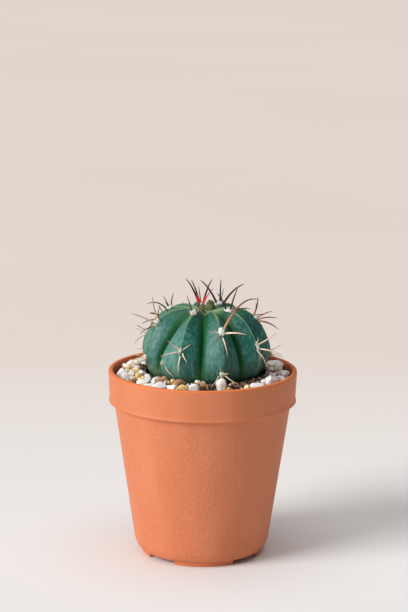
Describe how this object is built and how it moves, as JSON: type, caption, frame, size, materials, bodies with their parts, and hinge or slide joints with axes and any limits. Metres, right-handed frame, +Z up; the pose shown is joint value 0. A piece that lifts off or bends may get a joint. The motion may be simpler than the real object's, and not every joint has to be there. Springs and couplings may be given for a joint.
{
  "type": "potted round cactus",
  "caption": "Round ribbed cactus with woolly areoles and long curved needles, standing in pale mixed gravel in a tapered clay-coloured plastic pot with a banded rim and drained foot.",
  "frame": {"origin": "on the surface that the pot stands on, on the pot's axis", "axes": "+Z up along the pot's axis, -Y toward the side that faces the viewer, +X to the viewer's right"},
  "size_m": [0.09, 0.09, 0.132],
  "materials": {
    "pot_plastic": "satin clay-coloured plastic with a fine moulded grain",
    "soil": "dry dark potting soil with mineral grit",
    "gravel_stone": "rounded and chipped pebbles, mostly white and clear quartz, some amber, tan, brown and grey",
    "cactus_skin": "smooth waxy blue-green plant skin with a grey bloom, white wool tufts and horny needles from red to straw"
  },
  "bodies": {
    "root": {"pot": "pot_plastic", "soil": "soil", "gravel": "gravel_stone", "cactus": "cactus_skin"}
  },
  "joints": []
}
